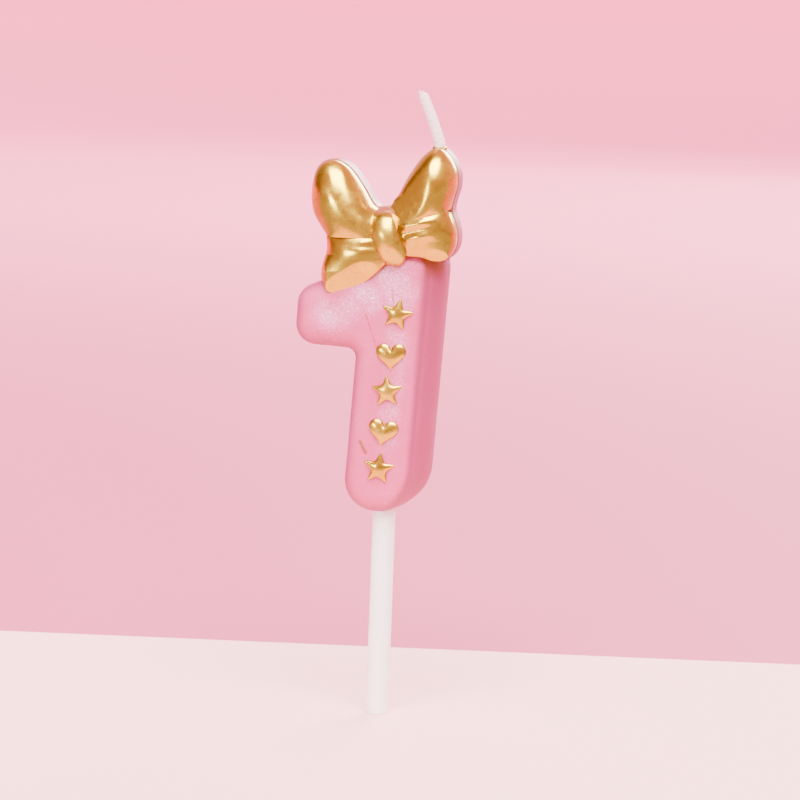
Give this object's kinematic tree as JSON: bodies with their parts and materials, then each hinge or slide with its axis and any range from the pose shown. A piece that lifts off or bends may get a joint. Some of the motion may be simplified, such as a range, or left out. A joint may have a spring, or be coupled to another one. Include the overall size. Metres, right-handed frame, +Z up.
{
  "type": "number birthday candle",
  "caption": "Pink wax number-one birthday candle with a gold bow, raised gold charms, a cotton wick and a white stick that goes into the cake.",
  "frame": {"origin": "where the stick leaves the wax, on the stick's axis, which is the plane of the cake's top", "axes": "+Z up along the stick, +X towards the stem's plain side as seen from the front, -Y towards the viewer of the front face"},
  "size_m": [0.0309, 0.0134, 0.1209],
  "materials": {
    "white_plastic": "smooth satin white plastic tube",
    "pearl_pink_wax": "pink wax with a pearl dusting on its face",
    "pink_wax": "plain pink wax, slightly shiny",
    "gold_paint": "brushed-on metallic gold paint",
    "cotton": "waxed white cotton braid"
  },
  "bodies": {
    "stick": {"stick": "white_plastic"},
    "number": {"numeral": "pearl_pink_wax", "bow_left_back": "pink_wax", "bow_right_back": "pink_wax", "bow_left_loop": "gold_paint", "bow_left_tail": "gold_paint", "bow_right_loop": "gold_paint", "bow_right_tail": "gold_paint", "bow_knot": "gold_paint", "charm_star_top": "gold_paint", "charm_heart_upper": "gold_paint", "charm_star_middle": "gold_paint", "charm_heart_lower": "gold_paint", "charm_star_bottom": "gold_paint", "wick_root": "cotton", "wick_collar": "gold_paint"},
    "wick": {"wick_tip": "cotton"}
  },
  "joints": [
    {"name": "number_lift", "type": "slide", "parent": "stick", "child": "number", "axis": [0, 0, 1], "range_m": [0, 0.022]},
    {"name": "wick_bend", "type": "hinge", "parent": "number", "child": "wick", "pos_m": [0.0083, 0, 0.0713], "axis": [0, 1, 0], "range_deg": [-32, 77]}
  ]
}
